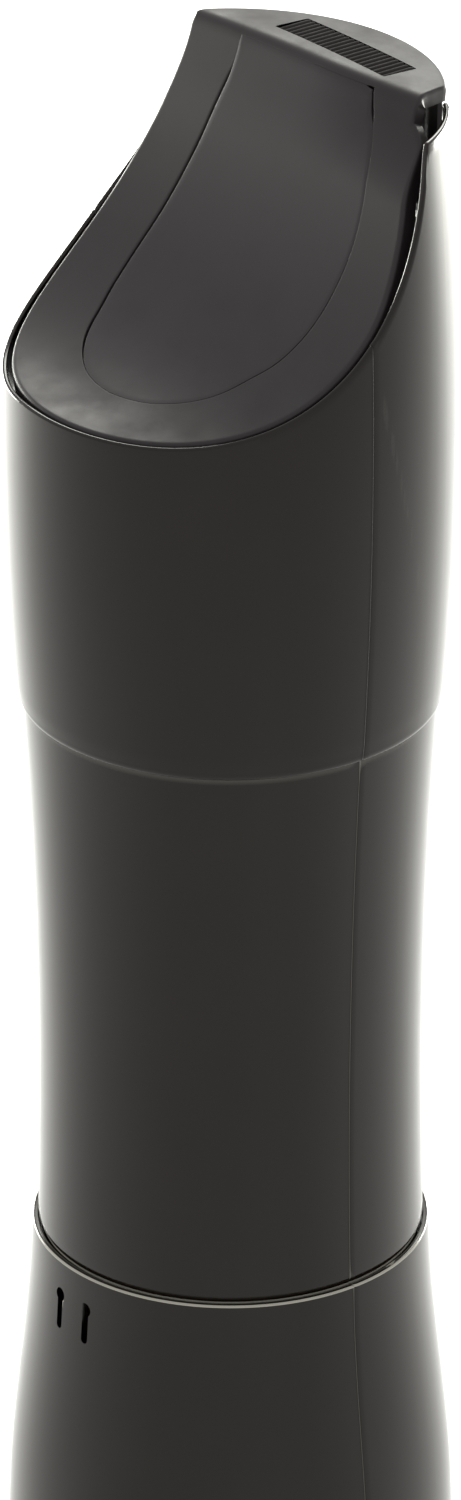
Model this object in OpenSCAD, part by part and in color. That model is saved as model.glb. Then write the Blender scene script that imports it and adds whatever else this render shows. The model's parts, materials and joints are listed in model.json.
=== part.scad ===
/* [Body] */
// Height of the seam between the base and the middle section
base_top = 70; // [66:1:76]
// Height of the seam between the middle and the upper section
mid_top = 163.2; // [160:0.2:166]
// Largest radius of the base, near the foot
base_r = 36.2; // [36:0.1:37]
// Radius of the base just under its rim
base_neck_r = 32; // [31.9:0.1:32.2]
// Radius of the waist, the narrowest part of the middle section
waist_r = 30.6; // [30.5:0.1:31]
// Largest radius of the upper section
upper_r = 35.5; // [35.3:0.1:36]
// Wall thickness of the moulded shells
wall = 2.2; // [1.8:0.1:2.4]
// Distance from the axis to the flat front of the middle and upper sections
flat_front = 27.5; // [27.3:0.1:27.8]
// Gap left between the halves and sections of the casing
seam = 0.1; // [0.05:0.05:0.2]

/* [Lever] */
// Height of the crown of the lever's nose
crown_z = 266.5; // [266:0.1:268]
// Height of the nose's upper edge
nose_z = 265.4; // [265:0.1:265.8]
// Radius of the nose, seen from above
nose_r = 33.1; // [32.8:0.1:33.4]
// Thickness of the nose's overhanging lip
lip_t = 3; // [2.6:0.1:3.2]
// Radius of the scooped face that the thumb slides along
scoop_r = 50; // [49.8:0.1:50.2]
// Thickness of the lever's scooped plate
plate_t = 2.6; // [2.4:0.1:2.8]
// Radius of the hinge pin under the low end of the lever
hinge_pin_r = 1.3; // [1.2:0.1:1.5]
// Running clearance of pins and shafts in their bores, on the radius
run = 0.05; // [0.02:0.01:0.08]

/* [Drive] */
// Height of the drive shaft above the surface
drive_z = 226; // [225.5:0.1:226.5]
// Tooth module of the slow pair of gears
slow_m = 0.8; // [0.8:0.01:0.82]
// Tooth module of the two fast pairs of gears
fast_m = 0.6; // [0.6:0.01:0.61]
// Teeth of the drive gear
drive_teeth = 40; // [38:1:40]
// Teeth of the pinion that turns the drive gear
second_pinion_teeth = 12; // [12:1:13]
// Teeth of the second wheel
second_teeth = 48; // [46:1:48]
// Teeth of the pinion that turns the second wheel
first_pinion_teeth = 10; // [10:1:11]
// Teeth of the first wheel
first_teeth = 40; // [38:1:40]
// Teeth of the pinion on the motor
motor_pinion_teeth = 10; // [10:1:11]
// Radius of the drive shaft
drive_shaft_r = 4; // [3.8:0.1:4.1]
// Radius of the toothed feed wheel
feed_r = 8.9; // [8.5:0.1:8.9]
// Teeth of the feed wheel
feed_teeth = 26; // [20:1:30]
// Radius of the round cutter
cutter_r = 8.5; // [8:0.1:8.5]
// Radius of the motor case
motor_r = 17.5; // [16:0.1:17.6]

/* [Base fittings] */
// Radius of the cast weight in the base
ballast_r = 25; // [22:0.5:25]
// Thickness of the cast weight in the base
ballast_t = 20; // [12:1:24]
// Thickness of the rubber foot ring
foot_t = 3.5; // [3:0.5:4]
// Radius of the cord entry
cord_r = 3.3; // [3:0.1:3.5]
// Height of the cord entry above the surface
cord_z = 14; // [13:0.5:15]

/* [Hidden] */
$fn = 96;

charcoal = [0.23, 0.21, 0.20];
satin = [0.30, 0.28, 0.28];
black = [0.10, 0.10, 0.10];
steel = [0.72, 0.73, 0.75];
nylon = [0.88, 0.86, 0.80];
brass = [0.80, 0.65, 0.30];
board_green = [0.12, 0.35, 0.20];
big = 200;

// Outline of the casing
base_bulge_z = 14;
base_taper_len = base_top - 12;
waist_z = 100;
mid_flare = 2;
mid_spigot_z = base_top - 4;
mid_collar_z = mid_top + 3.2;
collar_inset = 1;
mark_x = 3.3;
mark_top_z = 63.9;
mark_len = 5.3;
mark_w = 1.4;
mark_head_r = 1.15;
mark_depth = 0.8;
shelf_t = 2.2;
upper_full_z = 215;
upper_draw_low = 2;
upper_draw_high = 2.2;
wall_top_z = nose_z - lip_t - 0.9;
lip_wall = 0.9;
plate_gap = 0.6;
ledge_gap = 1.4;
window_half_w = 19;
window_z = drive_z + 11.5;

// Scoop axis, parallel to X
scoop_y = 35.5;
scoop_z = 269.1;

// Lever hinge, parallel to X
hinge_y = 29.2;
hinge_z = 213.5;
hinge_boss_r = 2.8;
hinge_boss_half_w = 6;
hinge_lug_t = 3;
hinge_lug_gap = 0.7;

// Tongue panel's outline from the ridge to the low tip: half width at -X and at +X, and Y
tongue_rows = [
    [12.5, 16.6, -20], [13.5, 17.2, -15], [18.6, 18.8, -12], [20.6, 20.4, -8],
    [21.6, 21.2, -3], [21.6, 21.2, 2], [20.6, 20.2, 7], [18.8, 18.4, 11], [16.4, 16.2, 15],
    [13, 13, 18.3], [8.5, 8.5, 21.3], [4, 4, 22.8]
];
tongue_tip = 23.3;
tongue_t = 1.2;

// Scooped plate's outline seen from behind, narrowing towards the nose at -X only
plate_outline = [
    [37, 205], [37, nose_z], [-24, nose_z], [-24.4, nose_z - lip_t], [-28.9, 250],
    [-32.3, 240], [-37, 228], [-37, 205]
];
pad_w = 26.6;
pad_d = 6.2;
pad_x = 1;
pad_y = -23.3;
pad_t = 2.2;
pad_ribs = 22;
ridge_arc_r = 50;
ridge_y = -14.5;
ridge_ends = [-19.7, -15.6];
ridge_join = [-22, -16.9];
skirt_z = 252.8;
skirt_t = 1.8;

// Gear centres, as [x, z]
slow_gap = slow_m * (drive_teeth + second_pinion_teeth) / 2;
second_gap = fast_m * (second_teeth + first_pinion_teeth) / 2;
first_gap = fast_m * (first_teeth + motor_pinion_teeth) / 2;
second_dir = -60;
first_dir = 192;
motor_dir = -65;
drive_c = [0, drive_z];
second_c = drive_c + slow_gap * [cos(second_dir), sin(second_dir)];
first_c = second_c + second_gap * [cos(first_dir), sin(first_dir)];
motor_c = first_c + first_gap * [cos(motor_dir), sin(motor_dir)];

// Planes of the drive train, as places along Y
front_plate_y = -23.4;
rear_plate_y = -7.4;
plate_thick = 1.6;
gear_space = rear_plate_y - plate_thick - front_plate_y;
slow_y = -18.5;
second_y = -14.5;
first_y = -10.5;
axle_r = 1.5;
hub_r = 3;
post_r = 2.2;
post_x = 18.2;
post_low_z = 183;
post_high_z = 233;
motor_shaft_r = 1.2;
motor_len = 27;
motor_cap_t = 4;
feed_y = -28.7;
feed_t = 2.1;
bracket_y = -28.9;
bracket_t = 1.6;
cutter_y = -31.1;
cutter_t = 1.2;
cutter_z = drive_z + feed_r + cutter_r + 0.3;
cutter_pin_r = 2;
switch_x = -22.5;
switch_y = -15;
switch_base_z = 218.5;
plunger_r = 1.2;
plunger_top_z = 246;
foot_gap = 0.4;
magnet_pin_y = -29.7;
magnet_pin_z = 247.3;
magnet_pin_r = 0.7;
magnet_x = 13;
magnet_y = -32.4;
magnet_r = 3.4;
magnet_z = 236.9;
magnet_t = 3;
screw_r = 1.5;
screw_head_r = 2.8;
small_head_r = 1.8;
face_screw_r = 1.2;
face_screw_c = [[-14, 176], [14, 176]];
tie_x = 9;
tie_z = [88, 150];
tie_seat = 3;
base_screw_orbit = 29;
boss_r = 3.6;
boss_len = 24;
rear_screw_angles = [30, 150];
front_screw_angles = [270];
board_y = 14;
board_z = 120;
board_posts = [for (x = [-15, 15]) for (z = [-19, 19]) [x, board_z + z]];

// Radius of the base at height z
function base_radius(z) =
    base_neck_r + (base_r - base_neck_r)
    * (1 + cos(180 * min(1, max(0, (z - base_bulge_z) / base_taper_len)))) / 2;

// Radius of the middle section at height z
function mid_radius(z) = waist_r + mid_flare * pow((z - waist_z) / 60, 2);

// Radius of the upper section at height z
function upper_radius(z) =
    z < upper_full_z
    ? upper_r - upper_draw_low * pow((upper_full_z - z) / (upper_full_z - mid_top), 2)
    : upper_r - upper_draw_high * pow((z - upper_full_z) / 50, 2);

// Half of an outline between heights a and b, moved inwards by inset
function base_outline(a, b, inset, n = 12) =
    [for (i = [0 : n]) let (z = a + (b - a) * i / n) [base_radius(z) - inset, z]];
function mid_outline(a, b, inset, n = 10) =
    [for (i = [0 : n]) let (z = a + (b - a) * i / n) [mid_radius(z) - inset, z]];
function upper_outline(a, b, inset, n = 12) =
    [for (i = [0 : n]) let (z = a + (b - a) * i / n) [upper_radius(z) - inset, z]];

// Solid turned about Z from a half outline
module turned(outline, a, b) {
    rotate_extrude($fn = 128)
        polygon(concat([[0, a]], outline, [[0, b]]));
}

// Everything behind (side = 1) or in front of (side = -1) the casing's middle plane
module half_space(side) {
    translate([-big, side > 0 ? seam / 2 : -2 * big - seam / 2, -big])
        cube([2 * big, 2 * big, 4 * big]);
}

// Everything behind the flat front, moved inwards by inset
module behind_flat(inset) {
    translate([-big, inset - flat_front, -big])
        cube([2 * big, 2 * big, 4 * big]);
}

// Cylinder of radius r along Y, from y towards -Y over length len
module rod_y(c, y, len, r) {
    translate([c[0], y, c[1]])
        rotate([90, 0, 0])
            cylinder(h = len, r = r);
}

// Cylinder of radius r along X, centred on x
module rod_x(x, y, z, len, r) {
    translate([x - len / 2, y, z])
        rotate([0, 90, 0])
            cylinder(h = len, r = r);
}

// Space inside the scoop's cylinder, grown by t
module scoop(t) {
    rod_x(0, scoop_y, scoop_z, big, scoop_r + t);
}

// Tongue outline seen from above, shrunk by inset, as a tall column
module tongue_column(inset) {
    near = [for (p = tongue_rows) [inset - p[0], p[2] - (p[2] > 16 ? inset : 0)]];
    far = [for (i = [len(tongue_rows) - 1 : -1 : 0]) [tongue_rows[i][1] - inset, near[i][1]]];
    translate([0, 0, 200])
        linear_extrude(62.3)
            polygon(concat(near, [[0, tongue_tip - inset]], far));
}

// Pan-head screw along Y: head at y, shank towards the rear
module screw_y(c, y, len) {
    rod_y(c, y, 1.8, screw_head_r);
    rod_y(c, y + len, len, screw_r);
}

// Involute gear outline with n teeth of module m
function involute(a) = tan(a) * 180 / PI - a;
function flank(r, rb, half) = half + involute(21) - involute(acos(min(1, rb / r)));
function gear_radii(m, n, addendum) =
    let (p = m * n / 2, rb = p * cos(21)) [p - 1.2 * m, max(rb, p - 0.9 * m), p, p + addendum * m];
function gear_points(m, n, addendum) =
    let (
        p = m * n / 2,
        rb = p * cos(21),
        half = 90 / n - 0.08 / p * 180 / PI,
        radii = gear_radii(m, n, addendum)
    )
    [for (k = [0 : n - 1]) for (j = [0 : 7])
        let (
            r = radii[j < 4 ? j : 7 - j],
            a = 360 * k / n + (j < 4 ? -1 : 1) * flank(r, rb, half)
        )
        r * [cos(a), sin(a)]];

// Gear at centre c with a tooth (or, if gap is 1, a gap) pointing towards dir
module gear(c, y, width, m, n, dir, gap, addendum) {
    translate([c[0], y, c[1]])
        rotate([90, 0, 0])
            rotate(dir + gap * 180 / n)
                linear_extrude(width)
                    polygon(gear_points(m, n, addendum));
}

// Casing

module base_shell(side) {
    intersection() {
        difference() {
            union() {
                difference() {
                    turned(base_outline(foot_t, base_top, 0), foot_t, base_top);
                    turned(base_outline(foot_t - 1, base_top + 1, wall), foot_t - 1, base_top + 1);
                }
                difference() {
                    turned(base_outline(base_top - shelf_t, base_top, wall / 4),
                        base_top - shelf_t, base_top);
                    behind_flat(-0.2);
                }
                intersection() {
                    for (a = side > 0 ? rear_screw_angles : front_screw_angles)
                        rotate(a)
                            translate([base_screw_orbit, 0, foot_t + 3]) {
                                cylinder(h = boss_len, r = boss_r);
                                translate([0, -boss_r / 2, 0])
                                    cube([10, boss_r, boss_len]);
                            }
                    turned(base_outline(foot_t, base_top, wall / 2), foot_t, base_top);
                }
            }
            translate([0, 0, mid_spigot_z - 0.5])
                intersection() {
                    cylinder(h = 20, r = mid_radius(mid_spigot_z) + 0.2);
                    behind_flat(-0.2);
                }
            for (a = side > 0 ? rear_screw_angles : front_screw_angles)
                rotate(a)
                    translate([base_screw_orbit, 0, 0])
                        cylinder(h = 24, r = screw_r);
            if (side > 0) {
                rod_y([0, cord_z], 2 * base_r, 2 * base_r, cord_r + 2.4);
                keyhole_marks();
            }
        }
        half_space(side);
    }
}

// Two small keyhole-shaped recesses in the base, above the cord entry
module keyhole_marks() {
    difference() {
        for (x = [-mark_x, mark_x]) {
            rod_y([x, mark_top_z], 2 * base_r, 2 * base_r, mark_head_r);
            rod_y([x, mark_top_z - mark_len], 2 * base_r, 2 * base_r, mark_w / 2);
            translate([x - mark_w / 2, 0, mark_top_z - mark_len])
                cube([mark_w, 2 * base_r, mark_len]);
        }
        cylinder(h = 2 * base_top, r = base_neck_r - mark_depth);
    }
}

module base_front_shell() {
    color(charcoal)
        base_shell(-1);
}

module base_rear_shell() {
    color(charcoal)
        base_shell(1);
}

// Solid middle section, moved inwards by inset
module mid_core(inset) {
    turned(mid_outline(mid_spigot_z, mid_collar_z, inset), mid_spigot_z, mid_collar_z);
}

module mid_shell(side) {
    tie_len = side > 0 ? waist_r + mid_flare : flat_front - 1;
    intersection() {
        difference() {
            union() {
                difference() {
                    intersection() {
                        turned(mid_outline(mid_spigot_z, mid_collar_z, 0), mid_spigot_z, mid_collar_z);
                        behind_flat(0);
                    }
                    intersection() {
                        turned(mid_outline(mid_spigot_z - 1, mid_collar_z + 1, wall),
                            mid_spigot_z - 1, mid_collar_z + 1);
                        behind_flat(wall);
                    }
                }
                for (x = [-tie_x, tie_x])
                    for (z = tie_z)
                        intersection() {
                            rod_y([x, z], side > 0 ? tie_len : 0, tie_len, 3.4);
                            mid_core(wall / 2);
                        }
                if (side > 0)
                    for (c = board_posts)
                        intersection() {
                            rod_y(c, 32, 32 - board_y - 1.6, 2.4);
                            mid_core(wall / 2);
                        }
            }
            translate([-big, collar_inset - flat_front - big, mid_top - seam])
                cube([2 * big, big, 20]);
            for (x = [-tie_x, tie_x])
                for (z = tie_z) {
                    rod_y([x, z], 20, 60, screw_r);
                    rod_y([x, z], tie_seat - flat_front, 10, screw_head_r + 0.3);
                }
            for (c = board_posts)
                rod_y(c, board_y + 8, 20, 1.1);
        }
        half_space(side);
    }
}

module mid_front_shell() {
    color(charcoal)
        mid_shell(-1);
}

module mid_rear_shell() {
    color(charcoal)
        mid_shell(1);
}

module upper_shell(side) {
    intersection() {
        difference() {
            union() {
                difference() {
                    intersection() {
                        turned(upper_outline(mid_top, wall_top_z, 0), mid_top, wall_top_z);
                        behind_flat(0);
                    }
                    intersection() {
                        turned(upper_outline(mid_top - 1, wall_top_z + 1, wall),
                            mid_top - 1, wall_top_z + 1);
                        behind_flat(wall);
                    }
                    intersection() {
                        scoop(plate_t + ledge_gap);
                        turned(upper_outline(205, wall_top_z + 1, lip_wall), 205, wall_top_z + 1);
                    }
                }
                if (side > 0)
                    hinge_lugs();
                if (side < 0)
                    for (x = [-post_x, post_x])
                        for (z = [post_low_z, post_high_z])
                            rod_y([x, z], front_plate_y - plate_thick - 0.1, 1.6, 3);
            }
            scoop(0);
            intersection() {
                cylinder(h = mid_collar_z + 0.4, r = mid_radius(mid_collar_z) + 0.2);
                behind_flat(collar_inset - 0.2);
            }
            if (side < 0) {
                translate([-window_half_w, -2 * base_r, window_z])
                    cube([2 * window_half_w, 2 * base_r - 20, 40]);
                rod_y(drive_c, 0, 60, 7.5);
                for (c = face_screw_c)
                    rod_y(c, 0, 60, face_screw_r);
                for (x = [-post_x, post_x])
                    for (z = [post_low_z, post_high_z])
                        rod_y([x, z], 0, 60, screw_r + 0.2);
            }
        }
        half_space(side);
    }
}

// Two ears on the rear wall that hold the hinge pin
module hinge_lugs() {
    for (s = [-1, 1])
        difference() {
            intersection() {
                translate([s * (hinge_boss_half_w + 0.4 + hinge_lug_t / 2), hinge_y + 1.5, hinge_z - 1])
                    cube([hinge_lug_t, 8, 9], center = true);
                turned(upper_outline(200, 225, lip_wall + plate_gap), 200, 225);
            }
            scoop(plate_t + hinge_lug_gap);
            rod_x(0, hinge_y, hinge_z, 60, hinge_pin_r);
        }
}

module upper_front_shell() {
    color(charcoal)
        upper_shell(-1);
}

module upper_rear_shell() {
    color(charcoal)
        upper_shell(1);
}

// Base fittings

module base_plate() {
    color(black)
        difference() {
            translate([0, 0, foot_t])
                cylinder(h = 2.6, r = base_r - wall - 0.4);
            for (a = concat(rear_screw_angles, front_screw_angles))
                rotate(a)
                    translate([base_screw_orbit, 0, 0]) {
                        cylinder(h = 20, r = screw_r + 0.2);
                        cylinder(h = foot_t + 1.2, r = screw_head_r + 0.3);
                    }
        }
}

module foot_ring() {
    color(black)
        difference() {
            cylinder(h = foot_t - 0.05, r = base_r - 1.2);
            translate([0, 0, -1])
                cylinder(h = foot_t + 2, r = base_screw_orbit - 4);
            for (a = concat(rear_screw_angles, front_screw_angles))
                rotate(a)
                    translate([base_screw_orbit, 0, -1])
                        cylinder(h = foot_t + 2, r = screw_head_r + 0.4);
        }
}

module ballast_weight() {
    color([0.35, 0.35, 0.36])
        difference() {
            translate([0, 0, foot_t + 2.7])
                cylinder(h = ballast_t, r = ballast_r);
            translate([0, 0, foot_t])
                cylinder(h = ballast_t + 10, r = 4);
            rod_y([0, cord_z], 60, 45, cord_r + 3.4);
        }
}

module cord_gland() {
    back = base_r - 0.2;
    color(black)
        difference() {
            union() {
                rod_y([0, cord_z], back, 8, cord_r + 2.2);
                rod_y([0, cord_z], back - 3.2, 1.6, cord_r + 3.2);
            }
            rod_y([0, cord_z], back + 1, 12, cord_r);
        }
}

module base_screws() {
    color(steel)
        for (a = concat(rear_screw_angles, front_screw_angles))
            rotate(a)
                translate([base_screw_orbit, 0, foot_t - 0.7]) {
                    cylinder(h = 1.8, r = screw_head_r);
                    cylinder(h = 16, r = screw_r);
                }
}

module shell_screws() {
    color(steel)
        for (x = [-tie_x, tie_x])
            for (z = tie_z)
                screw_y([x, z], tie_seat - flat_front, 40);
}

// Front and gear frame

module face_plate() {
    color(steel)
        difference() {
            translate([-17, -flat_front - 0.8, 172])
                cube([34, 0.8, window_z - 172]);
            rod_y(drive_c, 0, 60, 7.2);
            for (c = face_screw_c)
                rod_y(c, 0, 60, face_screw_r + 0.2);
        }
}

module face_screws() {
    color(steel)
        for (c = face_screw_c) {
            rod_y(c, -flat_front - 0.8, 0.8, small_head_r + 0.4);
            rod_y(c, 4 - flat_front, 4.8, face_screw_r);
        }
}

module gear_plate(y, half_w, low_z, high_z) {
    difference() {
        translate([-half_w, y - plate_thick, low_z])
            cube([2 * half_w, plate_thick, high_z - low_z]);
        for (x = [-post_x, post_x])
            for (z = [post_low_z, post_high_z])
                rod_y([x, z], 0, 60, screw_r);
        for (c = [first_c, second_c])
            rod_y(c, 0, 60, axle_r);
    }
}

module front_gear_plate() {
    color(steel)
        difference() {
            gear_plate(front_plate_y, 20.4, 180, 243);
            rod_y(drive_c, 0, 60, 6.5);
        }
}

module rear_gear_plate() {
    color(steel)
        difference() {
            gear_plate(rear_plate_y, 24, 172, 236);
            rod_y(drive_c, 0, 60, 5.5);
            rod_y(motor_c, 0, 60, 4.5);
            for (s = [-1, 1])
                rod_y(motor_c + [s * 12, 0], 0, 60, 1.25);
            for (z = [switch_base_z + 2, switch_base_z + 8])
                rod_y([switch_x, z], 0, 60, 0.9);
        }
}

module plate_spacers() {
    color(steel)
        for (x = [-post_x, post_x])
            for (z = [post_low_z, post_high_z])
                difference() {
                    rod_y([x, z], front_plate_y + gear_space, gear_space, post_r);
                    rod_y([x, z], 0, 60, 1.2);
                }
}

module plate_screws() {
    color(steel)
        for (x = [-post_x, post_x])
            for (z = [post_low_z, post_high_z]) {
                rod_y([x, z], rear_plate_y + 1.4, 1.4, small_head_r);
                rod_y([x, z], rear_plate_y, 6, 1.2);
                rod_y([x, z], front_plate_y - plate_thick, 1.4, screw_r);
                rod_y([x, z], front_plate_y + 4, 4 + plate_thick, 1.2);
            }
}

module gear_axles() {
    color(steel)
        for (c = [first_c, second_c])
            rod_y(c, rear_plate_y, gear_space + 2 * plate_thick, axle_r);
}

module shaft_bushes() {
    color(brass)
        difference() {
            union() {
                rod_y(drive_c, front_plate_y + 0.6, 4.2, 6.5);
                rod_y(drive_c, rear_plate_y + 0.5, 2.6, 5.5);
            }
            rod_y(drive_c, rear_plate_y - 5, 60, drive_shaft_r + run);
            rod_y(drive_c, 0, 60, 3 + run);
        }
}

// Motor

module motor_case() {
    front_y = rear_plate_y + 0.05;
    color(steel)
        difference() {
            union() {
                rod_y(motor_c, front_y + motor_len, motor_len, motor_r);
                rod_y(motor_c, front_y + 1, 1.6, 4.4);
            }
            rod_y(motor_c, front_y + motor_len + 1, motor_len - 0.6, motor_r - 1.5);
            rod_y(motor_c, 40, 60, motor_shaft_r + run);
            for (s = [-1, 1])
                rod_y(motor_c + [s * 12, 0], 10, 30, 1.25);
        }
}

module motor_end_cap() {
    front_y = rear_plate_y + motor_len + 0.1;
    color(black)
        difference() {
            union() {
                rod_y(motor_c, front_y + motor_cap_t, motor_cap_t, motor_r);
                rod_y(motor_c, front_y, 3, motor_r - 1.6);
            }
            rod_y(motor_c, front_y + 0.9, 6, motor_r - 4);
            rod_y(motor_c, front_y + motor_cap_t - 1.2, 20, motor_shaft_r + run);
        }
}

module motor_screws() {
    color(steel)
        for (s = [-1, 1]) {
            rod_y(motor_c + [s * 12, 0], rear_plate_y + 2.5, 5.5, 1.25);
            rod_y(motor_c + [s * 12, 0], rear_plate_y - plate_thick, 1, small_head_r);
        }
}

module motor_rotor() {
    rear = rear_plate_y + motor_len;
    color([0.55, 0.45, 0.35]) {
        rod_y(motor_c, rear - 6, 15, 12);
        rod_y(motor_c, rear - 3.5, 2.5, 5);
        rod_y(motor_c, rear + 2.5, rear + 2.5 - first_y + 3.9, motor_shaft_r);
    }
}

module motor_pinion() {
    color(brass)
        difference() {
            gear(motor_c, first_y + 0.4, 3.8, fast_m, motor_pinion_teeth, motor_dir + 180, 1, 0.85);
            rod_y(motor_c, 0, 40, motor_shaft_r);
        }
}

// Gears

module first_gear() {
    color(nylon)
        difference() {
            union() {
                gear(first_c, first_y, 3, fast_m, first_teeth, motor_dir, 0, 0.7);
                gear(first_c, first_y - 2.9, 4.6, fast_m, first_pinion_teeth, first_dir + 180, 1, 0.85);
                rod_y(first_c, rear_plate_y - plate_thick - 0.3, 1.3, hub_r);
                rod_y(first_c, second_y - 3.1, 5.5, 2.1);
            }
            rod_y(first_c, 0, 60, axle_r + run);
        }
}

module second_gear() {
    color(nylon)
        difference() {
            union() {
                gear(second_c, second_y, 3, fast_m, second_teeth, first_dir, 0, 0.7);
                gear(second_c, second_y - 2.9, 5.7, slow_m, second_pinion_teeth, second_dir + 180, 1, 0.85);
                rod_y(second_c, rear_plate_y - plate_thick - 0.3, 5.3, hub_r);
            }
            rod_y(second_c, 0, 60, axle_r + run);
        }
}

module drive_gear() {
    color(nylon)
        difference() {
            union() {
                gear(drive_c, slow_y, 4, slow_m, drive_teeth, second_dir, 0, 0.7);
                rod_y(drive_c, slow_y + 3, 3.5, 5.5);
            }
            rod_y(drive_c, 0, 60, drive_shaft_r);
        }
}

module drive_shaft() {
    color(steel)
        union() {
            rod_y(drive_c, rear_plate_y - 3.2, -3.2 + rear_plate_y - feed_y, drive_shaft_r);
            rod_y(drive_c, rear_plate_y + 0.4, 10, 3);
            rod_y(drive_c, feed_y + 1, feed_t + 1, 2.5);
        }
}

// Feed wheel: a ring of pointed teeth round the shaft's front end
module feed_wheel() {
    color(steel)
        difference() {
            translate([drive_c[0], feed_y, drive_c[1]])
                rotate([90, 0, 0])
                    linear_extrude(feed_t)
                        polygon([for (i = [0 : 2 * feed_teeth - 1])
                            (i % 2 == 0 ? feed_r : feed_r - 0.9)
                            * [cos(180 * i / feed_teeth), sin(180 * i / feed_teeth)]]);
            rod_y(drive_c, 0, 60, 2.5);
        }
}

// Switch and electrics

module switch_case() {
    color(black)
        difference() {
            translate([switch_x - 3, -19, switch_base_z])
                cube([6, 19 + rear_plate_y - plate_thick, 10.5]);
            translate([switch_x, switch_y, switch_base_z + 2])
                cylinder(h = 20, r = plunger_r + 0.1);
        }
}

module switch_plunger() {
    color([0.75, 0.15, 0.12])
        translate([switch_x, switch_y, switch_base_z + 3])
            cylinder(h = plunger_top_z - switch_base_z - 3, r = plunger_r);
}

module circuit_board() {
    color(board_green)
        difference() {
            translate([-18, board_y, board_z - 22])
                cube([36, 1.6, 44]);
            for (c = board_posts)
                rod_y(c, 30, 40, 1.1);
        }
}

module board_components() {
    color([0.20, 0.20, 0.24]) {
        rod_y([-8, board_z + 8], board_y, 16, 5.5);
        rod_y([6, board_z + 10], board_y, 12, 4);
        translate([-2, board_y - 6, board_z - 14])
            cube([14, 6, 14]);
    }
}

module board_screws() {
    color(steel)
        for (c = board_posts) {
            rod_y(c, board_y, 1.2, 2);
            rod_y(c, board_y + 7, 7, 1.1);
        }
}

// Lever

module hinge_pin() {
    color(steel)
        rod_x(0, hinge_y, hinge_z, 2 * (hinge_boss_half_w + 0.4 + hinge_lug_t), hinge_pin_r);
}

// Crescent nose: domed disc with its rear cut to the ridge line, squared off at both ends
module nose_slab() {
    dome_r = (nose_r * nose_r) / (2 * (crown_z - nose_z));
    intersection() {
        translate([0, 0, nose_z - lip_t])
            cylinder(h = 20, r = nose_r);
        translate([0, 0, crown_z - dome_r])
            sphere(r = dome_r, $fn = 256);
        union() {
            translate([0, ridge_y - ridge_arc_r, 0])
                cylinder(h = 400, r = ridge_arc_r);
            translate([-big, ridge_ends[0] - big, 0])
                cube([big, big, 2 * big]);
            translate([0, ridge_ends[1] - big, 0])
                cube([big, big, 2 * big]);
            translate([ridge_join[0], ridge_join[1] - big, 0])
                cube([-ridge_join[0], big, 2 * big]);
        }
    }
}

module lever_cap() {
    color(charcoal)
        difference() {
            union() {
                intersection() {
                    scoop(plate_t);
                    turned(upper_outline(205, nose_z, lip_wall + plate_gap), 205, nose_z);
                    translate([0, big + ridge_y - 3.2, 0])
                        rotate([90, 0, 0])
                            linear_extrude(big)
                                polygon(plate_outline);
                }
                nose_slab();
                lever_skirt();
                rod_x(0, hinge_y, hinge_z, 2 * hinge_boss_half_w, hinge_boss_r);
                translate([-hinge_boss_half_w, hinge_y - hinge_boss_r, hinge_z])
                    cube([2 * hinge_boss_half_w, 2 * hinge_boss_r, 4.5]);
                translate([switch_x - 2, switch_y - 2, plunger_top_z + foot_gap])
                    cube([4, 4, nose_z - lip_t - plunger_top_z - foot_gap + 1]);
            }
            scoop(0);
            intersection() {
                scoop(tongue_t + 0.1);
                tongue_column(0);
            }
            translate([pad_x - pad_w / 2 - 0.2, pad_y - pad_d / 2 - 0.2, nose_z - 0.9])
                cube([pad_w + 0.4, pad_d + 0.4, 10]);
            rod_x(0, hinge_y, hinge_z, 60, hinge_pin_r + run);
            for (s = [-1, 1])
                translate([4 * s, -25.5, 0])
                    cylinder(h = nose_z - 1.4, r = 1);
        }
}

// Skirt that hides the cutter from in front
module lever_skirt() {
    difference() {
        translate([0, 0, skirt_z])
            cylinder(h = nose_z - lip_t - skirt_z + 1, r = nose_r);
        cylinder(h = 400, r = nose_r - skirt_t);
        translate([-big, -flat_front - 1.1, -big])
            cube([2 * big, 2 * big, 4 * big]);
    }
}

module lever_tongue() {
    color(satin)
        intersection() {
            difference() {
                scoop(tongue_t);
                scoop(0.02);
            }
            tongue_column(0.25);
        }
}

module grip_pad() {
    pitch = pad_w / pad_ribs;
    low_z = nose_z - 0.85;
    color(black) {
        translate([pad_x - pad_w / 2, pad_y - pad_d / 2, low_z])
            cube([pad_w, pad_d, 1]);
        for (i = [0 : pad_ribs - 1])
            translate([pad_x + (i + 0.2) * pitch - pad_w / 2, pad_y - pad_d / 2, low_z + 0.9])
                cube([0.6 * pitch, pad_d, 0.75]);
    }
}

module cutter_bracket() {
    top_z = nose_z - lip_t - 0.05;
    color(steel)
        difference() {
            union() {
                translate([-6.5, bracket_y - bracket_t, cutter_z])
                    cube([13, bracket_t, top_z - cutter_z]);
                rod_y([0, cutter_z], bracket_y, bracket_t, 6.5);
                translate([-6.5, bracket_y - bracket_t, top_z - bracket_t])
                    cube([13, 10.5, bracket_t]);
            }
            rod_y([0, cutter_z], 0, 60, cutter_pin_r);
            rod_x(magnet_x, magnet_pin_y, magnet_pin_z, 15, magnet_pin_r);
            for (s = [-1, 1])
                translate([4 * s, -25.5, 0])
                    cylinder(h = 400, r = 1);
        }
}

module bracket_screws() {
    color(steel)
        for (s = [-1, 1])
            translate([4 * s, -25.5, nose_z - lip_t - 0.05 - bracket_t]) {
                cylinder(h = bracket_t + 1.6, r = 1);
                translate([0, 0, -1])
                    cylinder(h = 1, r = 1.9);
            }
}

module cutter_pivot() {
    color(steel)
        union() {
            rod_y([0, cutter_z], bracket_y, 3.6, cutter_pin_r);
            rod_y([0, cutter_z], bracket_y + 0.8, 0.8, 2.8);
            rod_y([0, cutter_z], cutter_y - cutter_t - 0.1, 0.6, 3.2);
        }
}

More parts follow.
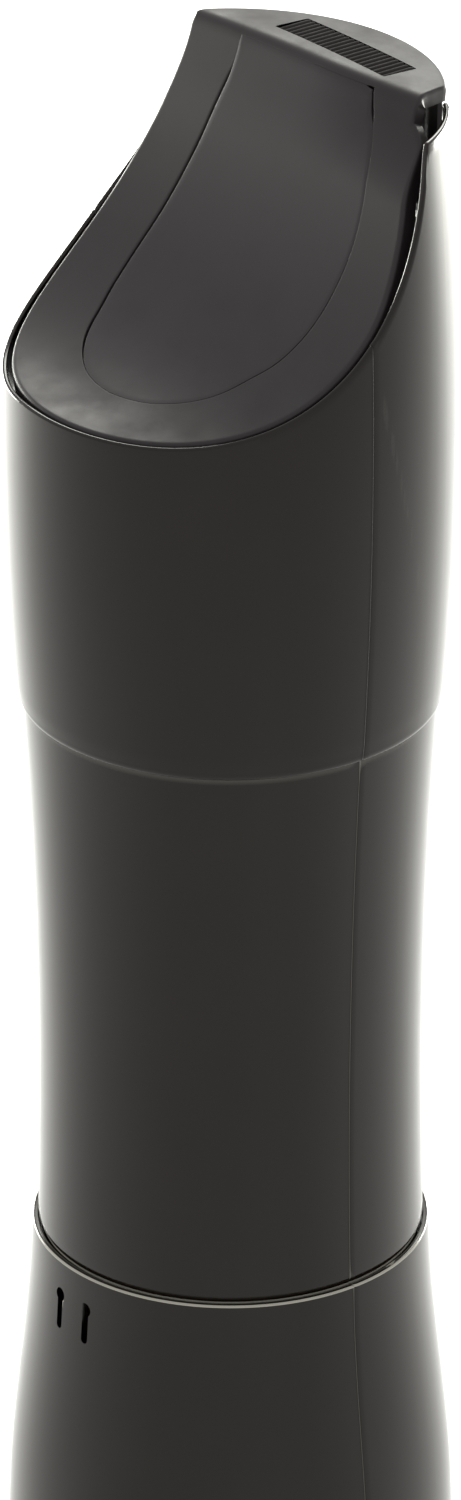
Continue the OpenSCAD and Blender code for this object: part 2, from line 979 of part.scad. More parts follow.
module cutter_wheel() {
    color(steel)
        translate([0, cutter_y, cutter_z])
            rotate([90, 0, 0])
                rotate_extrude()
                    polygon([[cutter_pin_r + run, 0], [cutter_r - 2, 0], [cutter_r, cutter_t / 2],
                        [cutter_r - 2, cutter_t], [cutter_pin_r + run, cutter_t]]);
}

module magnet_pin() {
    color(steel)
        rod_x(magnet_x - 2.5, magnet_pin_y, magnet_pin_z, 10, magnet_pin_r);
}

module magnet_arm() {
    color(black)
        difference() {
            union() {
                rod_x(magnet_x, magnet_pin_y, magnet_pin_z, 4.6, 1.7);
                translate([magnet_x - 2.3, magnet_pin_y - 1.7, magnet_z + magnet_t])
                    cube([4.6, 1.6, magnet_pin_z - magnet_z - magnet_t]);
                translate([magnet_x, magnet_y, magnet_z + magnet_t])
                    cylinder(h = 1.4, r = magnet_r);
            }
            rod_x(magnet_x, magnet_pin_y, magnet_pin_z, 30, magnet_pin_r + run);
        }
}

module lid_magnet() {
    color(steel)
        translate([magnet_x, magnet_y, magnet_z])
            cylinder(h = magnet_t, r = magnet_r);
}

base_front_shell();
base_rear_shell();
mid_front_shell();
mid_rear_shell();
upper_front_shell();
upper_rear_shell();
base_plate();
foot_ring();
ballast_weight();
cord_gland();
base_screws();
shell_screws();
face_plate();
face_screws();
front_gear_plate();
rear_gear_plate();
plate_spacers();
plate_screws();
gear_axles();
shaft_bushes();
motor_case();
motor_end_cap();
motor_screws();
motor_rotor();
motor_pinion();
first_gear();
second_gear();
drive_gear();
drive_shaft();
feed_wheel();
switch_case();
switch_plunger();
circuit_board();
board_components();
board_screws();
hinge_pin();
lever_cap();
lever_tongue();
grip_pad();
cutter_bracket();
bracket_screws();
cutter_pivot();
cutter_wheel();
magnet_pin();
magnet_arm();
lid_magnet();
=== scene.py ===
import json
import math
import bpy
import bmesh
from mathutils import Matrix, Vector


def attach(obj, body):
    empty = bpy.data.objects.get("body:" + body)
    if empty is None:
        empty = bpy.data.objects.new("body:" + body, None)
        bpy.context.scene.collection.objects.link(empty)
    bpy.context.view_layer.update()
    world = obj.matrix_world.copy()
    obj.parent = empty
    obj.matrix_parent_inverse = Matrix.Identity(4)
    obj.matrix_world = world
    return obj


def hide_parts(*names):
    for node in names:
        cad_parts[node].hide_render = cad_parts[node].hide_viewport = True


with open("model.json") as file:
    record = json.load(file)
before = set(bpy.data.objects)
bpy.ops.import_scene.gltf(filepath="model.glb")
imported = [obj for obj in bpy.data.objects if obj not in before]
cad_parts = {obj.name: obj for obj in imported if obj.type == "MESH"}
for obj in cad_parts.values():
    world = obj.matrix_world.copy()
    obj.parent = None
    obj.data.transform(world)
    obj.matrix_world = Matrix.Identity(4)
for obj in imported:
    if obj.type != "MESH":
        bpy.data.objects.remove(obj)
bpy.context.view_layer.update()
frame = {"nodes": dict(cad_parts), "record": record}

NODES = frame["nodes"]
MM = 0.001

# Sizes of the casing, in millimetres, as the model has them
FLAT = 27.5
BASE_BOTTOM = 3.5
BASE_TOP = 70.0
BASE_MAX_R = 36.199
SHOULDER_R = 32.0
FLARE = 4.2
FLARE_LOW = 14.0
FLARE_SPAN = 58.0
NECK_R = 31.12
NECK_FLAT = 27.75
WAIST_R = 30.6
WAIST_Z = 100.0
MID_TOP = 163.2
MID_MAX_R = 33.0
COLLAR_R = 32.96
BARREL_R = 35.5
BARREL_Z = 215.0
WALL_TOP = 261.9
WALL = 2.2
LIP_WALL = 0.9
LIP_EASE = 0.4
LIP_BEND = 1.2
SEAM = 0.012
SEAM_R = 33.0
FAR_DROP = 0.5

# Openings of the casing: centre and radius, or centre, width and height; for the keyhole marks'
# head and foot, height and radius
GLAND = (0.0, 14.0, 5.75)
KEY_X = 3.3
KEY_HEAD = (63.9, 1.15)
KEY_FOOT = (58.6, 0.7)
KEY_FLOOR = 31.05
SEAT_X = 9.0
SEAT_Z = (88.0, 150.0)
SEAT_R = 3.1
WINDOW = (0.0, 257.5, 38.0, 40.0)
SHAFT = (0.0, 226.0, 7.5)
FACE_SCREW_X = 14.0
FACE_SCREW_Z = 176.0
FACE_SCREW_R = 1.25

# Scoop and lever
SCOOP_Y = 35.5
SCOOP_Z = 269.1
SCOOP_R = 50.0
NOSE_R = 33.1
CROWN_Z = 266.286
DOME_R = 498.0
RIDGE_Y = -14.5
HINGE_Y = 29.2
HINGE_Z = 213.5
HINGE_R = 2.8
BOSS_LEN = 12.0
FOOT = (-22.5, -15.4, 4.0, 3.2)
FOOT_LOW = 246.4
SKIRT_LOW = 252.8
SKIRT_HIGH = 263.4
SKIRT_T = 1.8
SKIRT_FROM = 242.5
SKIRT_SPAN = 55.0
SKIRT_FLAT = 28.7


def clamp(v, a, b):
    """v kept between a and b."""
    return max(a, min(b, v))


def smooth(v, a, b):
    """Soft step from 0 at a to 1 at b."""
    t = clamp((v - a) / (b - a), 0.0, 1.0)
    return t * t * (3 - 2 * t)


def soft_min(a, b, k):
    """The lesser of a and b, rounded over about k where they meet."""
    return 0.5 * (a + b - math.sqrt((a - b) ** 2 + k * k))


def base_radius(z):
    """Flared base: widest at the foot, slimmest at the neck."""
    t = clamp((z - FLARE_LOW) / FLARE_SPAN, 0.0, 1.0)
    return SHOULDER_R + FLARE * (1 + math.cos(math.pi * t)) / 2


def mid_radius(z):
    """Waisted middle, slimmest at WAIST_Z."""
    return WAIST_R + 2.0 * ((z - WAIST_Z) / 60.0) ** 2


def upper_radius(z):
    """Barrel of the upper part, widest at BARREL_Z."""
    if z < BARREL_Z:
        return BARREL_R - 2.0 * ((BARREL_Z - z) / (BARREL_Z - MID_TOP)) ** 2
    return BARREL_R - 2.2 * ((z - BARREL_Z) / 50.0) ** 2


def limit(r, theta, inset):
    """Radius r at angle theta, kept behind the flat front moved in by inset."""
    s = math.sin(theta)
    if s > -0.4:
        return r
    return soft_min(r, (FLAT - inset) / -s, 0.5)


def scoop_height(y, r=SCOOP_R):
    """Height of the scoop's cylinder of radius r over the place y."""
    d = y - SCOOP_Y
    if abs(d) >= r:
        return SCOOP_Z
    return SCOOP_Z - math.sqrt(r * r - d * d)


def top_height(theta):
    """Height of the wall's edge at angle theta, where the outline meets the scoop."""
    s = math.sin(theta)
    z = 240.0
    for _ in range(40):
        goal = soft_min(scoop_height(upper_radius(z) * s), WALL_TOP, LIP_BEND)
        z = 0.5 * (z + goal)
    return z - FAR_DROP * smooth(math.cos(theta), 0.1, 0.5) * (1 + 9 * smooth(z, 232.0, 264.0))


# Meshes


def finish_mesh(obj, angle=40.0):
    """Merges doubles, turns faces outwards and shades smooth but for edges over angle."""
    mesh = obj.data
    bm = bmesh.new()
    bm.from_mesh(mesh)
    bmesh.ops.remove_doubles(bm, verts=bm.verts, dist=1e-7)
    bmesh.ops.recalc_face_normals(bm, faces=bm.faces)
    bm.to_mesh(mesh)
    bm.free()
    mesh.polygons.foreach_set("use_smooth", [True] * len(mesh.polygons))
    mesh.set_sharp_from_angle(angle=math.radians(angle))
    mod = obj.modifiers.new("weighted", "WEIGHTED_NORMAL")
    mod.keep_sharp = True
    mod.weight = 50


def make(name, verts, faces):
    """Object in the scene from points in millimetres."""
    mesh = bpy.data.meshes.new(name)
    mesh.from_pydata([(x * MM, y * MM, z * MM) for x, y, z in verts], [], faces)
    obj = bpy.data.objects.new(name, mesh)
    bpy.context.scene.collection.objects.link(obj)
    return obj


def loft(name, sections):
    """Closed sections of equal length, joined in order, with both ends closed."""
    n = len(sections[0])
    verts = [p for section in sections for p in section]
    faces = []
    for i in range(len(sections) - 1):
        for j in range(n):
            k = (j + 1) % n
            faces.append((i * n + j, i * n + k, (i + 1) * n + k, (i + 1) * n + j))
    faces.append(tuple(range(n)))
    faces.append(tuple(reversed(range((len(sections) - 1) * n, len(sections) * n))))
    return make(name, verts, faces)


def cut(obj, tools):
    """Takes the tools' shapes out of obj, and throws the tools away."""
    for tool in tools:
        mod = obj.modifiers.new("cut", "BOOLEAN")
        mod.operation = "DIFFERENCE"
        mod.solver = "EXACT"
        mod.object = tool
    bpy.context.view_layer.update()
    graph = bpy.context.evaluated_depsgraph_get()
    result = bpy.data.meshes.new_from_object(obj.evaluated_get(graph))
    obj.modifiers.clear()
    obj.data = result
    for tool in tools:
        bpy.data.objects.remove(tool)


def rounded_prism(name, outline, start, length, axis, edge=0.0):
    """Outline in the plane across axis, drawn out from start, with its two rims eased by edge."""
    cx = sum(p[0] for p in outline) / len(outline)
    cy = sum(p[1] for p in outline) / len(outline)
    steps = [(0.0, edge), (edge * 0.3, edge * 0.3), (edge, 0.0)] if edge else [(0.0, 0.0)]
    rows = [(start + d, e) for d, e in steps]
    rows += [(start + length - d, e) for d, e in reversed(steps)]
    sections = []
    for along, inset in rows:
        section = []
        for a, b in outline:
            d = math.hypot(a - cx, b - cy)
            f = 1 - inset / d
            u = cx + (a - cx) * f
            v = cy + (b - cy) * f
            section.append({"x": (along, u, v), "y": (u, along, v), "z": (u, v, along)}[axis])
        sections.append(section)
    return loft(name, sections)


def circle(cx, cy, r, n=48):
    """Circle of n points about (cx, cy)."""
    return [(cx + r * math.cos(2 * math.pi * i / n), cy + r * math.sin(2 * math.pi * i / n))
            for i in range(n)]


def rectangle(cx, cy, w, h, r=0.0, n=5):
    """Rectangle about (cx, cy) with corners of radius r."""
    if r <= 0:
        return [(cx - w / 2, cy - h / 2), (cx + w / 2, cy - h / 2),
                (cx + w / 2, cy + h / 2), (cx - w / 2, cy + h / 2)]
    out = []
    for k, (sx, sy) in enumerate([(1, 1), (-1, 1), (-1, -1), (1, -1)]):
        for i in range(n + 1):
            a = math.pi / 2 * (k + i / n)
            out.append((cx + sx * (w / 2 - r) + r * math.cos(a),
                        cy + sy * (h / 2 - r) + r * math.sin(a)))
    return out


# Easing of a half's edge at the seam, as (way from the seam, depth); the rear has a fine bead
REAR_EDGE = ((0.0, 0.08), (0.02, 0.01), (0.06, -0.05), (0.2, -0.05), (0.27, -0.02), (0.34, 0.0))
FRONT_EDGE = ((0.0, 0.22), (0.05, 0.15), (0.14, 0.10), (0.35, 0.06), (0.8, 0.0))


def columns(side, fine=()):
    """Angles of one half's sections with the easing of the seam's edge at each."""
    ends = REAR_EDGE if side > 0 else FRONT_EDGE
    out = [((SEAM + d) / SEAM_R, e) for d, e in ends]
    a = 2.0
    while a < 179.0:
        out.append((math.radians(a), 0.0))
        a += 0.25 if any(lo <= a <= hi for lo, hi in fine) else 1.5
    out += [(math.pi - (SEAM + d) / SEAM_R, e) for d, e in ends[::-1]]
    if side > 0:
        return out
    return [(math.pi + a, e) for a, e in out]


def revolve_half(name, side, section, fine=()):
    """Half of the casing, front or rear, from the section at each of its angles."""
    sections = []
    for theta, ease in columns(side, fine):
        c = math.cos(theta)
        s = math.sin(theta)
        sections.append([(r * c, r * s, z) for r, z in section(theta, ease)])
    return loft(name, sections)


def quarter(r0, z0, dr, dz, n=5):
    """Eased corner from (r0, z0) to (r0 + dr, z0 + dz), leaving along r and arriving along z."""
    return [(r0 + dr * math.sin(math.pi / 2 * i / n), z0 + dz * (1 - math.cos(math.pi / 2 * i / n)))
            for i in range(n + 1)]


def base_section(theta, ease):
    """Closed section (r, z) of the base's wall, up its outside and down its inside."""

    def outer(z):
        return min(base_radius(z) - ease, BASE_MAX_R)

    neck = NECK_R
    if math.sin(theta) < -0.4:
        neck = soft_min(neck, NECK_FLAT / -math.sin(theta), 0.4)
    bottom = BASE_BOTTOM
    low_ease = 0.9
    rim_ease = 0.4
    out = quarter(outer(bottom) - low_ease, bottom, low_ease, low_ease)
    n = 40
    for i in range(1, n):
        z = bottom + low_ease + (BASE_TOP - 0.6 - bottom - low_ease) * i / n
        out.append((outer(z), z))
    rim = outer(BASE_TOP)
    for i in range(5):
        a = math.pi / 2 * i / 4
        out.append((rim - rim_ease * (1 - math.cos(a)), BASE_TOP - rim_ease * (1 - math.sin(a))))
    out += [(neck + 0.08, BASE_TOP), (neck, BASE_TOP - 0.1), (neck, BASE_TOP - 2.4)]
    out += [(min(neck, 30.0), BASE_TOP - 2.6)]
    n = 16
    for i in range(n + 1):
        z = BASE_TOP - 3.0 + (bottom - BASE_TOP + 3.0) * i / n
        out.append((min(base_radius(z) - WALL, 33.8), z))
    return out


def mid_section(theta, ease):
    """Closed section of the middle's wall, with the groove above the base and the step on top."""

    def outer(z, inset=0.0):
        return limit(min(mid_radius(z), MID_MAX_R) - inset, theta, inset) - ease

    low = BASE_TOP - 3.9
    groove = BASE_TOP + 0.9
    out = [(outer(low, 0.5), low), (outer(groove, 0.5), groove - 0.35)]
    out += [(outer(groove, 0.3), groove - 0.25), (outer(groove, 0.08), groove - 0.1),
            (outer(groove), groove + 0.15)]
    n = 44
    for i in range(1, n + 1):
        z = groove + 0.15 + (MID_TOP - 0.1 - groove) * i / n
        out.append((outer(z), z))
    out += [(outer(MID_TOP, 0.15), MID_TOP + 0.2), (outer(MID_TOP, 0.35), MID_TOP + 0.3)]
    top = MID_TOP + 3.0
    out += [(outer(MID_TOP, 0.35), top)]
    n = 14
    for i in range(n + 1):
        z = top + (low - top) * i / n
        out.append((limit(mid_radius(min(z, MID_TOP)) - WALL, theta, WALL), z))
    return out


def upper_section(theta, ease):
    """Closed section of the upper wall, whose eased edge follows the scoop."""
    s = math.sin(theta)
    edge = top_height(theta)

    def outer(z, inset=0.0):
        return limit(upper_radius(z) - inset, theta, inset) - ease * (1 if inset < 1 else 0)

    def rim_drop(r):
        """How much lower than the edge the scoop's surface is at radius r."""
        here = soft_min(scoop_height(r * s), WALL_TOP, LIP_BEND)
        there = soft_min(scoop_height(upper_radius(edge) * s), WALL_TOP, LIP_BEND)
        return here - there

    bottom = MID_TOP
    step_h = 1.3
    collar = limit(COLLAR_R, theta, 0.55) - ease
    step = outer(bottom) - collar
    out = quarter(collar + 0.03, bottom, step - 0.03, step_h, 8)
    n = 46
    top = edge - LIP_EASE
    for i in range(1, n + 1):
        z = bottom + step_h + (top - bottom - step_h) * i / n
        out.append((outer(z), z))
    for i in range(1, 8):
        a = math.pi * i / 8
        inset = LIP_WALL * (1 - math.cos(a)) / 2
        r = outer(edge, inset)
        out.append((r, edge + rim_drop(r) - LIP_EASE * (1 - math.sin(a))))
    y = upper_radius(edge) * s
    if y > RIDGE_Y:
        depth = clamp(scoop_height(y) - scoop_height(y, SCOOP_R + 4.0), 4.0, 10.0)
    else:
        depth = 10.0
    ledge = edge - depth
    out += [(outer(edge, LIP_WALL), edge + rim_drop(outer(edge, LIP_WALL)) - 0.5)]
    n = 4
    for i in range(1, n + 1):
        z = edge - 0.5 + (ledge - edge + 0.5) * i / n
        out.append((outer(z, LIP_WALL), z))
    out.append((outer(ledge, WALL), ledge))
    n = 16
    inner_low = MID_TOP + 3.4
    for i in range(1, n + 1):
        z = ledge + (inner_low - ledge) * i / n
        out.append((outer(z, WALL), z))
    out += [(collar, inner_low), (collar, bottom + 0.1)]
    return out


# Materials


def new_material(name):
    """Material with its nodes, links and shader."""
    mat = bpy.data.materials.new(name)
    mat.use_nodes = True
    nodes = mat.node_tree.nodes
    return mat, nodes, mat.node_tree.links, nodes["Principled BSDF"]


def noise(nodes, links, coord, scale, detail=3.0, roughness=0.5):
    """Noise factor over coord."""
    tex = nodes.new("ShaderNodeTexNoise")
    tex.inputs["Scale"].default_value = scale
    tex.inputs["Detail"].default_value = detail
    tex.inputs["Roughness"].default_value = roughness
    links.new(coord, tex.inputs["Vector"])
    return tex.outputs["Fac"]


def ramp(nodes, links, fac, stops):
    """Colour along stops of (place, colour)."""
    node = nodes.new("ShaderNodeValToRGB")
    elements = node.color_ramp.elements
    elements[0].position, elements[0].color = stops[0][0], (*stops[0][1], 1)
    elements[1].position, elements[1].color = stops[-1][0], (*stops[-1][1], 1)
    for spot, colour in stops[1:-1]:
        e = elements.new(spot)
        e.color = (*colour, 1)
    links.new(fac, node.inputs["Fac"])
    return node.outputs["Color"]


def spread(nodes, links, fac, low, high, a=0.3, b=0.7):
    """Factor between a and b mapped to low and high."""
    node = nodes.new("ShaderNodeMapRange")
    node.inputs["From Min"].default_value = a
    node.inputs["From Max"].default_value = b
    node.inputs["To Min"].default_value = low
    node.inputs["To Max"].default_value = high
    links.new(fac, node.inputs["Value"])
    return node.outputs["Result"]


def blend_colour(nodes, links, fac, a, b):
    """Colour a turning to b as fac rises."""
    node = nodes.new("ShaderNodeMix")
    node.data_type = "RGBA"
    links.new(fac, node.inputs["Factor"])
    links.new(a, node.inputs["A"])
    node.inputs["B"].default_value = (*b, 1)
    return node.outputs["Result"]


def band(nodes, links, coords, fac, z, half):
    """Factor fac, raised to near 1 within half of the height z; used to paint highlight lines round the
    casing.
    """
    split = nodes.new("ShaderNodeSeparateXYZ")
    links.new(coords, split.inputs["Vector"])
    near = nodes.new("ShaderNodeMath")
    near.operation = "COMPARE"
    links.new(split.outputs["Z"], near.inputs[0])
    near.inputs[1].default_value = z * MM
    near.inputs[2].default_value = half * MM
    top = nodes.new("ShaderNodeMath")
    top.operation = "MAXIMUM"
    links.new(near.outputs["Value"], top.inputs[0])
    links.new(fac, top.inputs[1])
    return top.outputs["Value"]


def surface(name, colour, rough, ior=1.45, metal=0.0, grain=2600.0, bump=0.06, vary=0.12,
            wear_and_highlight=None, streak=False, edge_wear_and_light=0.5, highlight_bands=(), level=0.5):
    """Procedural material: mottled colour, uneven gloss, fine grain and lighter sharp edges: rubbed wear
    on most materials, a painted highlight on the rim material's edges and height bands.
    """
    mat, nodes, links, bsdf = new_material(name)
    coords = nodes.new("ShaderNodeTexCoord").outputs["Object"]
    if streak:
        mapping = nodes.new("ShaderNodeMapping")
        mapping.inputs["Scale"].default_value = (1.0, 1.0, 14.0) if streak == "x" else (14.0, 1.0, 1.0)
        links.new(coords, mapping.inputs["Vector"])
        fine_coords = mapping.outputs["Vector"]
    else:
        fine_coords = coords
    cloud = noise(nodes, links, coords, 45.0, 4.0)
    fine = noise(nodes, links, fine_coords, grain, 2.0, 0.6)
    dark = tuple(c * (1 - vary) for c in colour)
    light = tuple(c * (1 + vary) for c in colour)
    shade = ramp(nodes, links, cloud, [(0.3, dark), (0.5, colour), (0.7, light)])
    # Sharp edges, found by pointiness, and the height bands turn towards the lighter colour: rubbed wear
    # on most materials, a painted highlight on the rim material.
    if wear_and_highlight:
        geometry = nodes.new("ShaderNodeNewGeometry")
        edge = spread(nodes, links, geometry.outputs["Pointiness"], 0.0, edge_wear_and_light, 0.53, 0.62)
        for z, half in highlight_bands:
            edge = band(nodes, links, coords, edge, z, half)
        shade = blend_colour(nodes, links, edge, shade, wear_and_highlight)
    links.new(shade, bsdf.inputs["Base Color"])
    smudge = noise(nodes, links, coords, 110.0, 5.0, 0.6)
    links.new(spread(nodes, links, smudge, rough * 0.85, rough * 1.2), bsdf.inputs["Roughness"])
    node = nodes.new("ShaderNodeBump")
    node.inputs["Strength"].default_value = bump
    node.inputs["Distance"].default_value = 0.0001
    links.new(fine, node.inputs["Height"])
    links.new(node.outputs["Normal"], bsdf.inputs["Normal"])
    bsdf.inputs["Metallic"].default_value = metal
    bsdf.inputs["IOR"].default_value = ior
    bsdf.inputs["Specular IOR Level"].default_value = level
    return mat


M = {
    "shell": surface("charcoal_gloss", (0.0060, 0.0038, 0.0024), 0.15, 1.325, grain=1500.0,
                     bump=0.015, wear_and_highlight=(0.022, 0.020, 0.017)),
    # Copy of the shell's gloss with a painted highlight: its sharp edges and thin bands at the base's
    # rim (z 69.77) and the middle's top step (z 163.42) are painted much lighter, standing in for the
    # bright lines of light along these rings.
    "rim": surface("charcoal_gloss_painted_rim_highlight", (0.0060, 0.0038, 0.0024), 0.15, 1.325, grain=1500.0,
                   bump=0.015, wear_and_highlight=(0.28, 0.27, 0.23), edge_wear_and_light=0.9,
                   highlight_bands=((69.77, 0.18), (163.42, 0.14))),
    "lever": surface("charcoal_satin", (0.0165, 0.0136, 0.0137), 0.46, 1.34, grain=5200.0,
                     bump=0.08, vary=0.08),
    "tongue": surface("charcoal_panel", (0.0168, 0.0133, 0.0142), 0.46, 1.34, grain=5200.0,
                      bump=0.08, vary=0.08),
    "grip": surface("ribbed_grip", (0.0135, 0.0115, 0.0100), 0.62, 1.34, grain=3500.0, bump=0.2,
                    level=0.25),
    "foot": surface("foot_rubber", (0.018, 0.018, 0.018), 0.75, 1.40, grain=2500.0, bump=0.25),
    "black": surface("black_moulding", (0.020, 0.020, 0.020), 0.45, grain=3000.0, bump=0.15,
                     wear_and_highlight=(0.05, 0.05, 0.05)),
    "plate": surface("polished_plate", (0.24, 0.24, 0.24), 0.12, metal=1.0, grain=900.0,
                     bump=0.05, vary=0.05, streak="x"),
    "steel": surface("machined_steel", (0.17, 0.17, 0.17), 0.22, metal=1.0, grain=1400.0,
                     bump=0.12, vary=0.10, streak="z", wear_and_highlight=(0.30, 0.30, 0.30)),
    "brass": surface("turned_brass", (0.70, 0.50, 0.20), 0.28, metal=1.0, grain=1400.0,
                     bump=0.10, vary=0.10, streak="z"),
    "nylon": surface("natural_nylon", (0.72, 0.69, 0.60), 0.42, 1.53, grain=2200.0, bump=0.10,
                     vary=0.05),
    "iron": surface("cast_weight", (0.055, 0.055, 0.058), 0.60, 1.5, grain=900.0, bump=0.6,
                    wear_and_highlight=(0.12, 0.12, 0.12)),
    "board": surface("board_lacquer", (0.020, 0.11, 0.045), 0.32, 1.5, grain=2800.0, bump=0.10),
    "parts": surface("moulded_components", (0.030, 0.030, 0.045), 0.40, 1.5, grain=2500.0,
                     bump=0.15),
    "red": surface("red_plunger", (0.42, 0.030, 0.022), 0.35, 1.5, grain=2500.0, bump=0.10),
}
SLOT_MATERIAL = {
    "charcoal_shell": "shell", "lever_shell": "lever", "satin_panel": "tongue",
    "grip_rubber": "grip", "foot_rubber": "foot", "black_plastic": "black",
    "polished_steel": "plate", "steel": "steel", "brass": "brass", "nylon": "nylon",
    "iron": "iron", "board": "board", "components": "parts", "red_plastic": "red",
}


def dress(obj, slot, look=None):
    """Gives obj the material of its slot, or the one named by look."""
    obj.data.materials.clear()
    obj.data.materials.append(M[look or SLOT_MATERIAL[slot]])


def place(obj, body, slot, *nodes, look=None, sharp=40.0):
    """Finishes a made piece, gives it the material of its slot or look, hides the nodes it replaces and
    hangs it on its body.
    """
    finish_mesh(obj, sharp)
    dress(obj, slot, look)
    if nodes:
        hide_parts(*nodes)
    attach(obj, body)


# Casing

base_front = revolve_half("base_front_half", -1, base_section)
base_rear = revolve_half("base_rear_half", 1, base_section)
tools = [rounded_prism("tool_gland", circle(*GLAND), 30.0, 10.0, "y")]
for x in (-KEY_X, KEY_X):
    key = []
    for (z, r), start, span, n in ((KEY_HEAD, -52, 284, 24), (KEY_FOOT, 180, 180, 12)):
        for i in range(n + 1):
            a = math.radians(start + span * i / n)
            key.append((x + r * math.cos(a), z + r * math.sin(a)))
    tools.append(rounded_prism("tool_key", key, KEY_FLOOR, 9.0, "y"))
cut(base_rear, tools)
# The base halves take the copy of the shell's gloss with the painted rim highlight.
place(base_front, "housing", "charcoal_shell", "base_front_shell", look="rim")
place(base_rear, "housing", "charcoal_shell", "base_rear_shell", look="rim")

mid_front = revolve_half("middle_front_half", -1, mid_section)
mid_rear = revolve_half("middle_rear_half", 1, mid_section)
tools = []
for x in (-SEAT_X, SEAT_X):
    for z in SEAT_Z:
        tools.append(rounded_prism("tool_seat", circle(x, z, SEAT_R), -30.0, 5.5, "y"))
cut(mid_front, tools)
# The middle halves also take the copy of the shell's gloss with the painted rim highlight.
place(mid_front, "housing", "charcoal_shell", "mid_front_shell", look="rim")
place(mid_rear, "housing", "charcoal_shell", "mid_rear_shell", look="rim")

# Angles in a half, in degrees, at which the scoop's edge is steep and needs closer sections, and
# the angle up to which the upper halves' edges are shaded smooth
STEEP = ((148.0, 179.0), (1.0, 32.0))
RIM_SHARP = 62.0
upper_front = revolve_half("upper_front_half", -1, upper_section, STEEP)
upper_rear = revolve_half("upper_rear_half", 1, upper_section, STEEP)
tools = [
    rounded_prism("tool_window", rectangle(*WINDOW), -40.0, 20.0, "y"),
    rounded_prism("tool_shaft", circle(*SHAFT), -40.0, 20.0, "y"),
]
for x in (-FACE_SCREW_X, FACE_SCREW_X):
    hole = circle(x, FACE_SCREW_Z, FACE_SCREW_R)
    tools.append(rounded_prism("tool_screw", hole, -40.0, 20.0, "y"))
cut(upper_front, tools)
place(upper_front, "housing", "charcoal_shell", "upper_front_shell", sharp=RIM_SHARP)
place(upper_rear, "housing", "charcoal_shell", "upper_rear_shell", sharp=RIM_SHARP)

# Lever: points are (x, s), where s is the way down its middle from the ridge

ALPHA_0 = math.asin((SCOOP_Z - CROWN_Z + 0.2) / SCOOP_R)
FILLET = 2.4
BEND_LOW = 251.0
BEND_HIGH = 266.0


def ridge_y(x):
    """Rear edge of the nose: nearly straight, bending forwards towards -X."""
    return -16.2 + 0.045 * x - 0.0042 * min(x, 0.0) ** 2


def raw_point(x, s):
    """Point of the lever's face before its ridge is rounded."""
    if s <= 0:
        y = ridge_y(x) + s
        return Vector((x, y, CROWN_Z - (x * x + y * y) / (2 * DOME_R)))
    alpha = ALPHA_0 + s / SCOOP_R
    y = SCOOP_Y - SCOOP_R * math.cos(alpha)
    z = SCOOP_Z - SCOOP_R * math.sin(alpha)
    bend = smooth(z, BEND_LOW, BEND_HIGH)
    top = CROWN_Z - (x * x + ridge_y(x) ** 2) / (2 * DOME_R)
    z -= (SCOOP_Z - SCOOP_R * math.sin(ALPHA_0) - top) * bend
    return Vector((x, y + (ridge_y(x) - RIDGE_Y) * bend, z))


def lever_point(x, s):
    """Point of the lever's face, with the ridge rounded over FILLET to either side."""
    if abs(s) >= FILLET:
        return raw_point(x, s)
    a = raw_point(x, -FILLET)
    b = raw_point(x, FILLET)
    c = raw_point(x, 0.0)
    t = (s + FILLET) / (2 * FILLET)
    return a * (1 - t) ** 2 + c * (2 * t * (1 - t)) + b * t * t


def lever_normal(x, s):
    """Unit normal of the lever's face."""
    h = 0.05
    du = lever_point(x + h, s) - lever_point(x - h, s)
    dv = lever_point(x, s + h) - lever_point(x, s - h)
    return du.cross(dv).normalized()


# Heights on the plate's tapered -X side and its half width there
TAPER = [(228.0, 37.0), (240.0, 32.3), (250.0, 28.9), (260.0, 25.4), (262.2, 22.0), (270.0, 21.5)]


def half_width(s, side):
    """Half width of the scooped plate at s, on its -X or +X side."""
    p = raw_point(0, max(s, 0.0))
    alpha = ALPHA_0 + max(s, 0.0) / SCOOP_R
    y = SCOOP_Y - SCOOP_R * math.cos(alpha)
    r = upper_radius(p.z) - LIP_WALL - 0.6 + 0.3 * (side > 0) * smooth(p.z, 232.0, 246.0)
    x = math.sqrt(max(0.0, r * r - y * y))
    for (z0, x0), (z1, x1) in zip(TAPER, TAPER[1:]):
        if side < 0 and z0 <= p.z < z1:
            x = soft_min(x, x0 + (x1 - x0) * (p.z - z0) / (z1 - z0), 0.8)
    return x


# Low end of the plate, ends of the ridge and of the nose's arc, and the cut-back end between them
LOW_Y = 33.98
LOW_S = SCOOP_R * (math.acos((SCOOP_Y - LOW_Y) / SCOOP_R) - ALPHA_0)
CORNER_X = {-1: 21.9, 1: 29.0}
ARC_X = {-1: 20.2, 1: 29.0}
NEAR_END = [(21.5, -1.0), (21.0, -3.0), (20.5, -5.5)]
CENTRE_S = 34.0


def lever_outline():
    """Closed outline of the lever in (x, s), starting at the low end and passing +X first."""
    out = []
    for side in (1, -1):
        line = []
        n = 90
        for i in range(n + 1):
            s = LOW_S * math.sin(math.pi / 2 * (1 - i / n))
            x = half_width(s, side) if i else 0.0
            if side < 0:
                x += (CORNER_X[side] - x) * (1 - smooth(s, 0.0, 1.5))
            line.append((side * x, s))
        if side < 0:
            line += [(-x, s) for x, s in NEAR_END]
        for i in range(1, 91):
            x = side * ARC_X[side] * math.cos(math.pi / 2 * i / 90)
            y = -math.sqrt((NOSE_R - 0.02) ** 2 - x * x)
            line.append((x, y - ridge_y(x)))
        out += line
    return out


